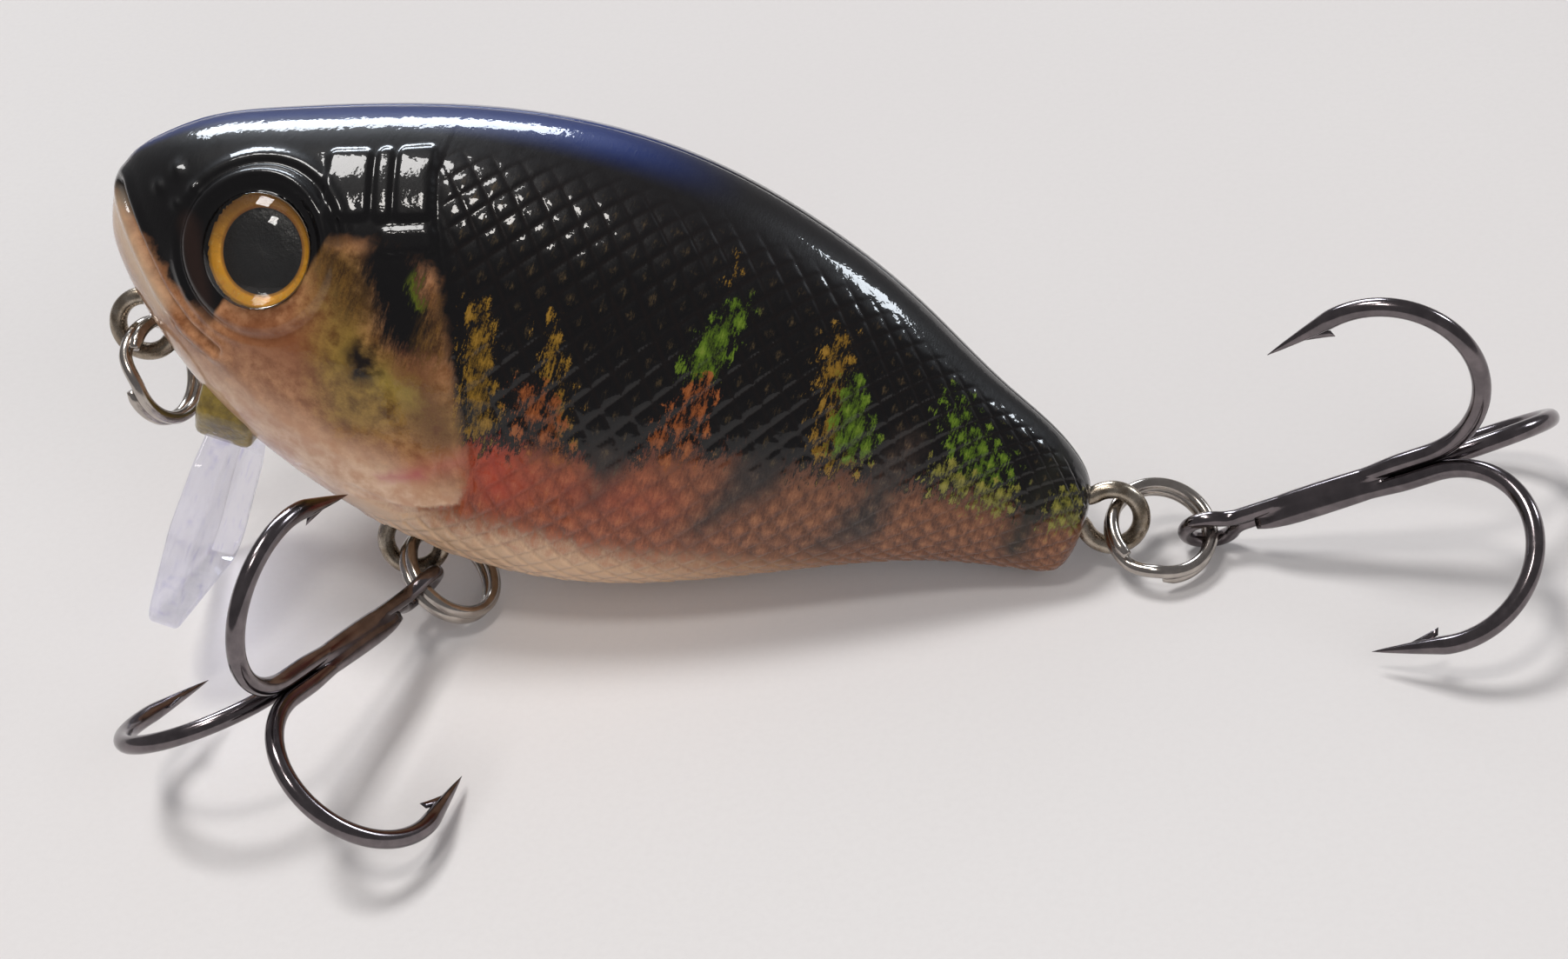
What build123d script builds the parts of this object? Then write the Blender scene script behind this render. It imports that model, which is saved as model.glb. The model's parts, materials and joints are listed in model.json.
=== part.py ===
from build123d import *
import os
from math import cos, radians, sin, sqrt

# ---------------------------------------------------------------------------
# A 46 mm shallow-running crankbait with two treble hooks.
#
# The lure is drawn upright: X runs from the nose to the tail, Z to the back
# and -Y to the left flank, which is the flank that faces a viewer who looks
# along +Y.  At the end every piece is turned by rest_turn, the way the lure
# sits on a table: nose up on the corner of its lip and on its hook points,
# leaning away from the viewer.
# ---------------------------------------------------------------------------

# Body: station, top line, bottom line and half width
BODY_STATIONS = [
    (0.3, 3.3, -0.6, 1.4),
    (1.2, 4.3, -1.9, 2.5),
    (3.0, 5.7, -3.7, 3.85),
    (6.0, 7.1, -6.0, 5.2),
    (10.0, 8.6, -8.0, 6.2),
    (15.0, 10.1, -9.5, 6.6),
    (20.0, 10.9, -9.95, 6.5),
    (25.0, 10.8, -9.2, 6.15),
    (30.0, 9.75, -7.3, 5.4),
    (35.0, 7.9, -4.9, 4.35),
    (40.0, 5.4, -2.95, 3.1),
    (43.5, 3.7, -2.2, 2.2),
    (44.8, 2.35, -1.55, 1.45),
]
NOSE_TIP = (-0.2, 1.6)
TAIL_TIP = (45.15, 0.5)
WALL = 1.3
HOLLOW_FROM = 10.0
HOLLOW_TO = 35.0

# Diving lip: a clear plate across the body
LIP_FRONT = 6.9
LIP_THICK = 1.3
LIP_HALF_WIDTH = 5.5
LIP_TIP = -16.2
LIP_CORNER = 1.5
LIP_SHOULDER = -11.0
LIP_SHOULDER_BEND = 2.5
LIP_NECK = (3.9, -8.3)
TONGUE_HALF_WIDTH = 2.6
TONGUE_TOP = -4.2
TONGUE_END = -7.2
CHIN_SIZE = (3.0, 6.4, 2.2)
CHIN_HEIGHT = -6.7
CHIN_EDGE = 0.8

# Eyes
EYE_AT = (7.6, 2.4)
EYE_RADIUS = 2.5
EYE_DEPTH = 0.9
EYE_DOME = 0.75
FOIL_THICK = 0.15

# Wire eyes that carry the rings; each NOSE_, BELLY_ or TAIL_WIRE gives the way its legs run and how far
HANGER_WIRE = 0.4
HANGER_LOOP = 1.3
HANGER_LEG_GAP = 0.5
NOSE_EYE = (2.55, -4.35)
BELLY_EYE = (16.75, -10.3)
TAIL_EYE = (46.2, 1.2)
NOSE_WIRE = (48.0, 6.2)
BELLY_WIRE = (90.0, 5.2)
TAIL_WIRE = (182.0, 6.5)

# Split rings: two turns of wire
RING_WIRE = 0.275
RING_RADIUS = 2.225
RING_TURN = 0.25

# Treble hooks, measured along the shank from the centre of the eye
HOOK_WIRE = 0.4
HOOK_EYE = 1.075
HOOK_EYE_BLEND = 1.2
SHANK_OFFSET = 0.48
BEND_START = 10.7
BEND_RADIUS = 3.9
BEND_ANGLE = 100.8
POINT_RUN = 3.2
POINT_TAPER = 2.3
POINT_TIP = 0.03
BARB_ROOT = 0.26
BARB_TIP = 0.04
BARB_LENGTH = 0.8
BRAZE_TO = 8.0
SINGLE_FROM = 2.6

# Way each ring hangs: swing in the middle plane, tilt out of it
# Way each treble hangs on its ring: place round the ring, dip and roll
NOSE_RING_POSE = (-56.0, -20.0)
BELLY_RING_POSE = (-26.0, -20.0)
BELLY_HOOK_POSE = (102.0, -4.0, 187.0)
TAIL_RING_POSE = (3.5, -39.5)
TAIL_HOOK_POSE = (-13.0, -43.0, 4.5)

# Way the lure sits on a table
SIT_PITCH = 22.0
SIT_ROLL = 23.0

# Hollow cut in the belly round the belly eye
RECESS_RADIUS = 1.7
RECESS_WIDTH = 5.0

# Inside the shells
POST_WIDTH = 4.4
POST_HEIGHT = 8.0
POST_RISE = 2.0
BALLAST_AT = [(12.6, -5.2), (21.2, -5.6)]
BALLAST_RADIUS = 2.0
BALLAST_HALF_LENGTH = 3.4
SLEEVE_WALL = 0.9
SLEEVE_FROM = 1.2
PIN_AT = [(11.0, 4.6), (22.0, 7.0), (32.5, 3.2)]
PIN_RADIUS = 0.7
PIN_REACH = 1.5
PIN_BOSS = 1.5
SLIP = 0.06

os.makedirs("parts", exist_ok=True)


# ---------------------------------------------------------------------------
# Frames
# ---------------------------------------------------------------------------
LEFTWARD = Vector(0, -1, 0)


def side_plane(point, angle):
    """A plane in the middle plane of the body, its x axis at an angle up from the tailward one."""
    along = Vector(cos(radians(angle)), 0, sin(radians(angle)))
    return Plane(origin=(point[0], 0, point[1]), x_dir=along, z_dir=LEFTWARD)


def ring_plane(eye, pose):
    """The plane of a split ring that runs through the hole of a wire eye."""
    swing, tilt = pose
    outward = Vector(cos(radians(swing)), 0, sin(radians(swing)))
    across = LEFTWARD * cos(radians(tilt)) + LEFTWARD.cross(outward) * sin(radians(tilt))
    centre = Vector(eye[0], 0, eye[1]) + outward * RING_RADIUS
    return Plane(origin=centre, x_dir=outward, z_dir=outward.cross(across))


def hook_plane(ring, pose):
    """The frame of a treble on a ring: z runs down the shank, x towards the single hook."""
    place, dip, roll = pose
    outward = ring.x_dir * cos(radians(place)) + ring.y_dir * sin(radians(place))
    round_ring = ring.y_dir * cos(radians(place)) - ring.x_dir * sin(radians(place))
    shank = outward * cos(radians(dip)) + ring.z_dir * sin(radians(dip))
    single = round_ring * cos(radians(roll)) + shank.cross(round_ring) * sin(radians(roll))
    return Plane(origin=ring.origin + outward * RING_RADIUS, x_dir=single, z_dir=shank)


# ---------------------------------------------------------------------------
# Body
# ---------------------------------------------------------------------------
def body_solid(stations, tips):
    """A smooth solid through upright ellipses, closed at two tips or at its end ellipses."""
    sections = []
    for x, top, bottom, half_width in stations:
        with BuildSketch(Plane.YZ.offset(x)) as section:
            with Locations((0, (top + bottom) / 2)):
                Ellipse(half_width, (top - bottom) / 2)
        sections.append(section.sketch.face())
    if tips:
        nose, tail = (Vertex(x, 0, z) for x, z in tips)
        sections = [nose, *sections, tail]
    with BuildPart() as solid:
        loft(sections)
    return solid.part


outer = body_solid(BODY_STATIONS, (NOSE_TIP, TAIL_TIP))
hollow_stations = [
    (x, top - WALL, bottom + WALL, half_width - WALL)
    for x, top, bottom, half_width in BODY_STATIONS
    if HOLLOW_FROM <= x <= HOLLOW_TO
]
hollow = body_solid(hollow_stations, None)


# ---------------------------------------------------------------------------
# Wire pieces
# ---------------------------------------------------------------------------
def wire_along(path, radius):
    """Round wire that follows a path."""
    with BuildPart() as wire:
        with BuildSketch(Plane(origin=path @ 0, z_dir=path % 0)):
            Circle(radius)
        sweep(path=path)
    return wire.part


def eye_path(plane, radius, blend, half_gap, leg_end):
    """A wire bent round an eye at the plane's origin, its two legs side by side along x."""
    meet = sqrt((radius + blend) ** 2 - (half_gap + blend) ** 2)
    turn = Vector(meet, half_gap + blend).get_angle(Vector(1, 0))
    with BuildLine(plane) as path:
        Line((leg_end, -half_gap), (meet, -half_gap))
        CenterArc((meet, -half_gap - blend), blend, 90, 90 - turn)
        CenterArc((0, 0), radius, -turn, 2 * turn - 360)
        CenterArc((meet, half_gap + blend), blend, 180 + turn, 90 - turn)
        Line((meet, half_gap), (leg_end, half_gap))
    return path.wire()


def hanger(eye, legs):
    """A closed wire hanger: an eye outside the body and a narrow loop moulded inside."""
    angle, leg_end = legs
    plane = side_plane(eye, angle)
    with BuildLine(plane) as end:
        CenterArc((leg_end, 0), HANGER_LEG_GAP, -90, 180)
    with BuildPart() as wire:
        add(wire_along(eye_path(plane, HANGER_LOOP, HOOK_EYE_BLEND, HANGER_LEG_GAP, leg_end), HANGER_WIRE))
        add(wire_along(end.wire(), HANGER_WIRE))
    return wire


def split_ring(plane):
    """Two turns of wire, one on the other."""
    with BuildPart(plane) as ring:
        with Locations((0, 0, RING_TURN), (0, 0, -RING_TURN)):
            Torus(RING_RADIUS, RING_WIRE)
    return ring


def tine(azimuth, start):
    """One hook of a treble: straight shank, round bend, tapered point and barb."""
    outward = Vector(cos(radians(azimuth)), sin(radians(azimuth)), 0)
    plane = Plane(origin=(0, 0, 0), x_dir=(0, 0, 1), z_dir=Vector(0, 0, 1).cross(outward))
    with BuildLine(plane) as path:
        Line((start, SHANK_OFFSET), (BEND_START, SHANK_OFFSET))
        bend = CenterArc((BEND_START, SHANK_OFFSET + BEND_RADIUS), BEND_RADIUS, -90, 90 + BEND_ANGLE)
        Line(bend @ 1, (bend @ 1) + (bend % 1) * (POINT_RUN - POINT_TAPER))
    course = path.wire()
    heading = course % 1
    inward = heading.cross(plane.z_dir) * -1
    taper = Plane(origin=(course @ 1) + heading * (POINT_TAPER / 2), z_dir=heading)
    barb_root = (course @ 1) + heading * 0.1 + inward * 0.22
    barb = Plane(origin=barb_root + (inward * 0.42 - heading * 0.1), z_dir=inward * 0.62 - heading * 0.78)
    with BuildPart() as hook:
        add(wire_along(course, HOOK_WIRE))
        with Locations(taper.location):
            Cone(HOOK_WIRE, POINT_TIP, POINT_TAPER)
        with Locations(barb.location):
            Cone(BARB_ROOT, BARB_TIP, BARB_LENGTH)
    return hook.part


def treble_double():
    """One wire bent into an eye, with a hook on each end."""
    side = SHANK_OFFSET * sin(radians(120))
    eye = Plane(origin=(SHANK_OFFSET * cos(radians(120)), 0, 0), x_dir=(0, 0, 1), z_dir=(-1, 0, 0))
    with BuildPart() as wire:
        add(wire_along(eye_path(eye, HOOK_EYE, HOOK_EYE_BLEND, side, SINGLE_FROM), HOOK_WIRE))
        for azimuth in (120, 240):
            add(tine(azimuth, SINGLE_FROM))
    return wire


def treble_single():
    """The third hook, laid in the groove of the other two."""
    with BuildPart() as wire:
        add(tine(0, SINGLE_FROM))
    return wire


def treble_braze():
    """Braze that fills the grooves between the three shanks."""
    with BuildPart() as braze:
        with BuildSketch(Plane.XY.offset(SINGLE_FROM + 0.1)):
            Circle(0.7)
            with PolarLocations(SHANK_OFFSET, 3):
                Circle(HOOK_WIRE, mode=Mode.SUBTRACT)
        extrude(amount=BRAZE_TO - SINGLE_FROM - 0.1)
    return braze


nose_ring_at = ring_plane(NOSE_EYE, NOSE_RING_POSE)
belly_ring_at = ring_plane(BELLY_EYE, BELLY_RING_POSE)
tail_ring_at = ring_plane(TAIL_EYE, TAIL_RING_POSE)
belly_hook_at = hook_plane(belly_ring_at, BELLY_HOOK_POSE)
tail_hook_at = hook_plane(tail_ring_at, TAIL_HOOK_POSE)

line_tie_wire = hanger(NOSE_EYE, NOSE_WIRE)
belly_hanger = hanger(BELLY_EYE, BELLY_WIRE)
tail_hanger = hanger(TAIL_EYE, TAIL_WIRE)

nose_split_ring = split_ring(nose_ring_at)
belly_split_ring = split_ring(belly_ring_at)
tail_split_ring = split_ring(tail_ring_at)


# ---------------------------------------------------------------------------
# Diving lip
# ---------------------------------------------------------------------------
with BuildPart() as diving_lip:
    with BuildSketch(Plane.YZ.offset(LIP_FRONT)) as blade:
        with BuildLine():
            half = Polyline(
                (0, TONGUE_TOP),
                (TONGUE_HALF_WIDTH, TONGUE_TOP),
                (TONGUE_HALF_WIDTH, TONGUE_END),
                LIP_NECK,
                (LIP_HALF_WIDTH, LIP_SHOULDER),
                (LIP_HALF_WIDTH, LIP_TIP),
                (0, LIP_TIP),
            )
            mirror(half, about=Plane.YZ)
        make_face()
        corners = blade.vertices().sort_by(Axis.Z)[:2]
        fillet(corners, LIP_CORNER)
        shoulders = [v for v in blade.vertices() if abs(v.Z - LIP_SHOULDER) < 0.1]
        fillet(shoulders, LIP_SHOULDER_BEND)
    extrude(amount=LIP_THICK)


# ---------------------------------------------------------------------------
# Eyes: a printed foil disc under a clear dome, set in a round pocket
# ---------------------------------------------------------------------------
def eye_plane(side):
    """Plane on the flank at the eye; side is -1 on the left and +1 on the right."""
    facing = Vector(-0.26, side * 0.94, 0.2)
    return Plane(origin=(EYE_AT[0], side * 5.45, EYE_AT[1]), x_dir=(1, side * 0.2766, 0), z_dir=facing)


def eye_foil(side):
    with BuildPart(eye_plane(side)) as foil:
        with Locations((0, 0, FOIL_THICK / 2 - EYE_DEPTH)):
            Cylinder(EYE_RADIUS, FOIL_THICK)
    return foil


def eye_dome(side):
    ball = (EYE_RADIUS**2 + EYE_DOME**2) / (2 * EYE_DOME)
    height = EYE_DEPTH - FOIL_THICK + EYE_DOME
    with BuildPart(eye_plane(side)) as dome:
        with Locations((0, 0, EYE_DOME - height / 2)):
            Cylinder(EYE_RADIUS, height)
        with Locations((0, 0, EYE_DOME - ball)):
            Sphere(ball, mode=Mode.INTERSECT)
    return dome


left_eye_foil = eye_foil(-1)
right_eye_foil = eye_foil(1)
left_eye_dome = eye_dome(-1)
right_eye_dome = eye_dome(1)


# ---------------------------------------------------------------------------
# Ballast: two lead slugs across the belly
# ---------------------------------------------------------------------------
def slug(place):
    with BuildPart(Plane.XZ) as weight:
        with Locations(place):
            Cylinder(BALLAST_RADIUS, 2 * BALLAST_HALF_LENGTH)
    return weight


front_ballast = slug(BALLAST_AT[0])
rear_ballast = slug(BALLAST_AT[1])


# ---------------------------------------------------------------------------
# Shells
# ---------------------------------------------------------------------------
HALF_SPAN = 8.0

with BuildPart() as fittings:
    with BuildSketch(Plane.XZ.offset(-HALF_SPAN)):
        with Locations(*PIN_AT):
            Circle(PIN_BOSS)
    extrude(amount=2 * HALF_SPAN)
    for reach in (HALF_SPAN, -HALF_SPAN):
        near = SLEEVE_FROM if reach > 0 else -SLEEVE_FROM
        with BuildSketch(Plane.XZ.offset(near)):
            with Locations(*BALLAST_AT):
                Circle(BALLAST_RADIUS + SLEEVE_WALL)
        extrude(amount=reach - near)
    with Locations((BELLY_EYE[0], 0, BELLY_EYE[1] + POST_RISE)):
        Box(POST_WIDTH, 2 * HALF_SPAN, POST_HEIGHT)
    add(outer, mode=Mode.INTERSECT)

with BuildPart() as chin:
    with Locations((LIP_FRONT + LIP_THICK / 2, 0, CHIN_HEIGHT)):
        Box(*CHIN_SIZE)
    fillet(chin.edges().filter_by(Axis.Y), CHIN_EDGE)

with BuildPart() as casing:
    add(outer)
    add(hollow, mode=Mode.SUBTRACT)
    add(fittings.part)
    add(chin.part)
    for place in BALLAST_AT:
        with Locations((place[0], 0, place[1])):
            Cylinder(BALLAST_RADIUS + SLIP, 2 * BALLAST_HALF_LENGTH + 2 * SLIP, rotation=(90, 0, 0),
                     mode=Mode.SUBTRACT)
    with Locations((BELLY_EYE[0], 0, BELLY_EYE[1])):
        Cylinder(RECESS_RADIUS, RECESS_WIDTH, rotation=(90, 0, 0), mode=Mode.SUBTRACT)
    for side in (-1, 1):
        with Locations(eye_plane(side).location):
            Cylinder(EYE_RADIUS + SLIP, 2 * EYE_DEPTH, mode=Mode.SUBTRACT)
    for insert in (diving_lip, line_tie_wire, belly_hanger, tail_hanger):
        add(insert.part, mode=Mode.SUBTRACT)

with BuildPart() as left_shell:
    add(casing.part)
    split(bisect_by=Plane.XZ, keep=Keep.TOP)
    with BuildSketch(Plane.XZ):
        with Locations(*PIN_AT):
            Circle(PIN_RADIUS + SLIP)
    extrude(amount=PIN_REACH + 2 * SLIP, mode=Mode.SUBTRACT)

with BuildPart() as right_shell:
    add(casing.part)
    split(bisect_by=Plane.XZ, keep=Keep.BOTTOM)
    with BuildSketch(Plane.XZ):
        with Locations(*PIN_AT):
            Circle(PIN_RADIUS)
    extrude(amount=PIN_REACH)


# ---------------------------------------------------------------------------
# Finished pieces, turned to the way the lure sits
# ---------------------------------------------------------------------------
rest_turn = Rotation(0, SIT_PITCH, 0) * Rotation(-SIT_ROLL, 0, 0)
pieces = {
    "left_shell": left_shell.part,
    "right_shell": right_shell.part,
    "diving_lip": diving_lip.part,
    "line_tie_wire": line_tie_wire.part,
    "belly_hanger": belly_hanger.part,
    "tail_hanger": tail_hanger.part,
    "front_ballast": front_ballast.part,
    "rear_ballast": rear_ballast.part,
    "left_eye_foil": left_eye_foil.part,
    "right_eye_foil": right_eye_foil.part,
    "left_eye_dome": left_eye_dome.part,
    "right_eye_dome": right_eye_dome.part,
    "nose_split_ring": nose_split_ring.part,
    "belly_split_ring": belly_split_ring.part,
    "tail_split_ring": tail_split_ring.part,
}
for name, hook_at in (("belly_treble", belly_hook_at), ("tail_treble", tail_hook_at)):
    pieces[name + "_double_hook"] = treble_double().part.moved(hook_at.location)
    pieces[name + "_single_hook"] = treble_single().part.moved(hook_at.location)
    pieces[name + "_braze"] = treble_braze().part.moved(hook_at.location)

turned = {name: piece.moved(rest_turn) for name, piece in pieces.items()}
whole = Compound(list(turned.values())).bounding_box()
on_table = Pos(-whole.center().X, -whole.center().Y, -whole.min.Z)
for name, piece in turned.items():
    placed = piece.moved(on_table)
    placed.label = name
    export_step(placed, f"parts/{name}.step")
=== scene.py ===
import json
from math import atan2, cos, pi, radians, sin, sqrt

import bpy
import bmesh
import numpy as np
from mathutils import Matrix, Vector


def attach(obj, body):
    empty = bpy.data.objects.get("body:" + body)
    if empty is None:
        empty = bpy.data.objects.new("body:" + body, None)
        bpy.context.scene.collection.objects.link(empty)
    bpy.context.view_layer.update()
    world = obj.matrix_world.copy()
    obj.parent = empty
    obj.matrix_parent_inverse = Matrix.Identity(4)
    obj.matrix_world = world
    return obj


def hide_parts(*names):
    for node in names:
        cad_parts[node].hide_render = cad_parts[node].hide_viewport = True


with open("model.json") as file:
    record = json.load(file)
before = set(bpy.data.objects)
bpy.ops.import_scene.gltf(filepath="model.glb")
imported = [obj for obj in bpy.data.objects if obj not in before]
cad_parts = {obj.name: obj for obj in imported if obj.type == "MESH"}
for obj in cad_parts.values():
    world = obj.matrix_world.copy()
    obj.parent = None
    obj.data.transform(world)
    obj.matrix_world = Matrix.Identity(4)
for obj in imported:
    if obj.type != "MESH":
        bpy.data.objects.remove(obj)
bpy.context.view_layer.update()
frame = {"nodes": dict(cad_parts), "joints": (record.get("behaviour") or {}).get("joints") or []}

MM = 0.001

# ---- The lure's own frame, in millimetres
# u runs to the tail, v to the back and w to the left flank, found from the hinges of the wire eyes.
NOSE_EYE = (2.55, -4.35)
BELLY_EYE = (16.75, -10.3)
TAIL_EYE = (46.2, 1.2)
joint = {j["name"]: j for j in frame["joints"]}


def joint_point(name):
    return np.array(joint[name]["pos_m"], float) / MM


def joint_axis(name):
    axis = np.array(joint[name]["axis"], float)
    return axis / np.linalg.norm(axis)


W = joint_axis("nose_ring_swing")
span = joint_point("tail_ring_swing") - joint_point("nose_ring_swing")
span /= np.linalg.norm(span)
lean = atan2(TAIL_EYE[1] - NOSE_EYE[1], TAIL_EYE[0] - NOSE_EYE[0])
U = span * cos(lean) - np.cross(W, span) * sin(lean)
V = np.cross(W, U)
AXES = np.array([U, V, W])
ORIGIN = joint_point("nose_ring_swing") - U * NOSE_EYE[0] - V * NOSE_EYE[1]


def to_row(points):
    """Lure points in millimetres to the row frame in metres."""
    return (ORIGIN + np.asarray(points, float) @ AXES) * MM


# ---- Shader expressions
def srgb(r, g, b):
    """A display colour, 0 to 255, as a linear one."""
    def lin(c):
        c /= 255
        return c / 12.92 if c <= 0.04045 else ((c + 0.055) / 1.055) ** 2.4
    return (lin(r), lin(g), lin(b), 1.0)


class Field:
    """A shader value that takes plain arithmetic."""

    def __init__(self, tree, socket):
        self.tree = tree
        self.socket = socket

    def math(self, operation, *others):
        node = self.tree.nodes.new("ShaderNodeMath")
        node.operation = operation
        for slot, value in zip(node.inputs, (self,) + others):
            if isinstance(value, Field):
                self.tree.links.new(value.socket, slot)
            else:
                slot.default_value = float(value)
        return Field(self.tree, node.outputs[0])

    def __add__(self, o): return self.math("ADD", o)
    def __mul__(self, o): return self.math("MULTIPLY", o)
    def __sub__(self, o): return self.math("SUBTRACT", o)
    def __truediv__(self, o): return self.math("DIVIDE", o)
    def __abs__(self): return self.math("ABSOLUTE")
    def high(self, o): return self.math("MAXIMUM", o)
    def root(self): return self.math("SQRT")
    def fract(self): return self.math("FRACT")

    def step(self, start, end, to_start=0.0, to_end=1.0, kind="SMOOTHSTEP"):
        """A smooth change from to_start at start to to_end at end."""
        node = self.tree.nodes.new("ShaderNodeMapRange")
        node.interpolation_type = kind
        if start > end:
            start, end, to_start, to_end = end, start, to_end, to_start
        self.tree.links.new(self.socket, node.inputs["Value"])
        limits = {"From Min": start, "From Max": end, "To Min": to_start, "To Max": to_end}
        for key, value in limits.items():
            node.inputs[key].default_value = value
        return Field(self.tree, node.outputs["Result"])


class Finish:
    """One procedural material."""

    def __init__(self, name):
        self.material = bpy.data.materials.new(name)
        self.material.use_nodes = True
        self.tree = self.material.node_tree
        self.tree.nodes.clear()
        self.out = self.tree.nodes.new("ShaderNodeOutputMaterial")

    def node(self, kind, **settings):
        node = self.tree.nodes.new(kind)
        for key, value in settings.items():
            setattr(node, key, value)
        return node

    def place(self):
        """Position on the piece, in millimetres, which moves with it."""
        coords = self.node("ShaderNodeTexCoord")
        scale = self.node("ShaderNodeVectorMath", operation="SCALE")
        scale.inputs["Scale"].default_value = 1 / MM
        self.tree.links.new(coords.outputs["Object"], scale.inputs[0])
        return scale.outputs[0]

    def attribute(self, name):
        return self.node("ShaderNodeAttribute", attribute_name=name).outputs["Vector"]

    def split(self, vector):
        node = self.node("ShaderNodeSeparateXYZ")
        self.tree.links.new(vector, node.inputs[0])
        return [Field(self.tree, s) for s in node.outputs]

    def join(self, *parts):
        node = self.node("ShaderNodeCombineXYZ")
        for slot, value in zip(node.inputs, parts):
            if isinstance(value, Field):
                self.tree.links.new(value.socket, slot)
            else:
                slot.default_value = value
        return node.outputs[0]

    def noise(self, vector, scale, detail=3.0, roughness=0.55):
        """Noise from about -1 to 1, round 0."""
        node = self.node("ShaderNodeTexNoise")
        self.tree.links.new(vector, node.inputs["Vector"])
        node.inputs["Scale"].default_value = scale
        node.inputs["Detail"].default_value = detail
        node.inputs["Roughness"].default_value = roughness
        return (Field(self.tree, node.outputs[0]) - 0.5) * 2.0

    def mix(self, factor, below, above):
        """above laid over below where factor is 1."""
        node = self.node("ShaderNodeMix", data_type="RGBA")
        self.tree.links.new(factor.socket, node.inputs["Factor"])
        slots = [s for s in node.inputs if s.type == "RGBA"]
        for slot, value in zip(slots, (below, above)):
            if isinstance(value, tuple):
                slot.default_value = value
            else:
                self.tree.links.new(value, slot)
        return [s for s in node.outputs if s.type == "RGBA"][0]

    def bump(self, height, strength, distance):
        node = self.node("ShaderNodeBump")
        node.inputs["Strength"].default_value = strength
        node.inputs["Distance"].default_value = distance
        self.tree.links.new(height.socket, node.inputs["Height"])
        return node.outputs[0]

    def shader(self, colour, normal, roughness, **values):
        """A principled surface on the material's output."""
        node = self.node("ShaderNodeBsdfPrincipled")
        for key, value in values.items():
            node.inputs[key.replace("_", " ")].default_value = value
        self.tree.links.new(colour, node.inputs["Base Color"])
        self.tree.links.new(normal, node.inputs["Normal"])
        if isinstance(roughness, Field):
            self.tree.links.new(roughness.socket, node.inputs["Roughness"])
        else:
            node.inputs["Roughness"].default_value = roughness
        self.tree.links.new(node.outputs[0], self.out.inputs["Surface"])
        return node

    def blend(self, share, below, above):
        """Two shaders mixed on the material's output."""
        node = self.node("ShaderNodeMixShader")
        for slot, value in zip(node.inputs, (share, below.outputs[0], above.outputs[0])):
            self.tree.links.new(value, slot)
        self.tree.links.new(node.outputs[0], self.out.inputs["Surface"])
        return self.material


def capsule(u, v, a, b, ra, rb, soft):
    """1 inside a rounded bar from a to b, with a radius at each end."""
    du, dv = b[0] - a[0], b[1] - a[1]
    size = du * du + dv * dv
    t = ((u - a[0]) * (du / size) + (v - a[1]) * (dv / size)).step(0, 1, kind="LINEAR")
    x = u - a[0] - t * du
    y = v - a[1] - t * dv
    gap = (x * x + y * y).root() - ra - t * (rb - ra)
    return gap.step(soft, -soft)


def course(x, points):
    """A line through points, as a function of x."""
    value = None
    for (x0, y0), (x1, y1) in zip(points, points[1:]):
        part = x.step(x0, x1, 0.0, y1 - y0, kind="LINEAR")
        value = part if value is None else value + part
    return value + points[0][1]


# ---- Body paint
BLACK = srgb(9, 8, 9)
WATERLINE = [(15.0, -3.4), (19.4, -2.4), (22.7, -1.8), (26.5, -0.7), (29.5, 0.4), (33.5, 0.5),
             (37.2, 1.2), (41.2, 1.0), (45.0, 0.9)]
BELLY_LINE = [(8.0, -4.4), (14.0, -6.2), (18.3, -6.9), (25.6, -6.4), (33.0, -4.8), (45.0, -2.0)]
HEAD_LINE = [(0.0, 1.5), (2.0, 0.9), (3.9, -0.2), (5.2, -1.0), (6.5, -1.2), (7.0, 0.6), (9.6, 1.2),
             (10.6, 4.0), (12.0, 4.5), (13.0, 4.3), (15.5, 4.2), (17.5, 3.3)]
# how far ahead of u = 17.2 the gill cover's painted edge lies, against v
GILL_LINE = [(-8.0, 4.6), (-6.6, -0.1), (-5.8, -1.6), (-4.6, -1.7), (-3.2, -1.4), (1.2, 0.4),
             (6.0, 2.6), (9.0, 4.0)]

# Patches of paint: the two ends (u, v), the radius at each, softness, strength and tone
FLANK_BLUSH = [
    ((19.8, -2.6), (20.2, -4.2), 0.7, 0.9, 1.5, 0.8, (172, 58, 38)),
    ((21.5, -3.6), (27.0, -3.0), 0.4, 0.3, 1.6, 0.5, (150, 62, 42)),
]
BARS = [
    ((24.5, 1.5), (24.5, -1.4), 1.3, 0.8, 0.7, 1.0, "black"),
    ((24.5, -1.4), (24.3, -3.4), 0.6, 0.2, 0.8, 0.85, "grey"),
    ((31.0, 2.6), (30.8, 0.0), 1.2, 1.0, 0.8, 1.0, "black"),
    ((30.5, -0.6), (28.9, -3.7), 1.0, 0.3, 0.8, 0.92, "grey"),
    ((36.5, 2.8), (35.7, -1.2), 0.5, 0.9, 0.8, 0.95, "grey"),
    ((35.4, -1.8), (34.2, -3.2), 0.8, 0.3, 0.8, 0.8, "grey"),
    ((42.8, 3.2), (42.3, -0.8), 0.4, 0.6, 0.7, 0.95, (26, 26, 20)),
]
CHEEK = [
    ((8.4, -1.2), (11.6, -0.6), 0.8, 1.5, 1.4, 0.85, (122, 70, 40)),
    ((11.4, 2.6), (13.6, -2.0), 1.2, 1.9, 1.2, 0.92, "olive skin"),
    ((14.2, -1.4), (17.4, -2.0), 1.7, 1.5, 1.4, 0.85, "olive skin"),
]
CHEEK_MARKS = [
    ((14.4, -1.0), (15.8, -1.3), 0.3, 0.3, 0.9, 0.6, (160, 142, 64)),
    ((12.6, 0.6), (12.5, -1.0), 0.1, 0.1, 0.7, 0.5, (152, 128, 52)),
    ((13.2, -0.1), (13.6, -0.9), 0.5, 0.4, 0.45, 1.0, (20, 12, 9)),
    ((10.6, 3.4), (12.4, 2.0), 0.7, 0.8, 0.9, 0.95, "rusty"),
]
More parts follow.
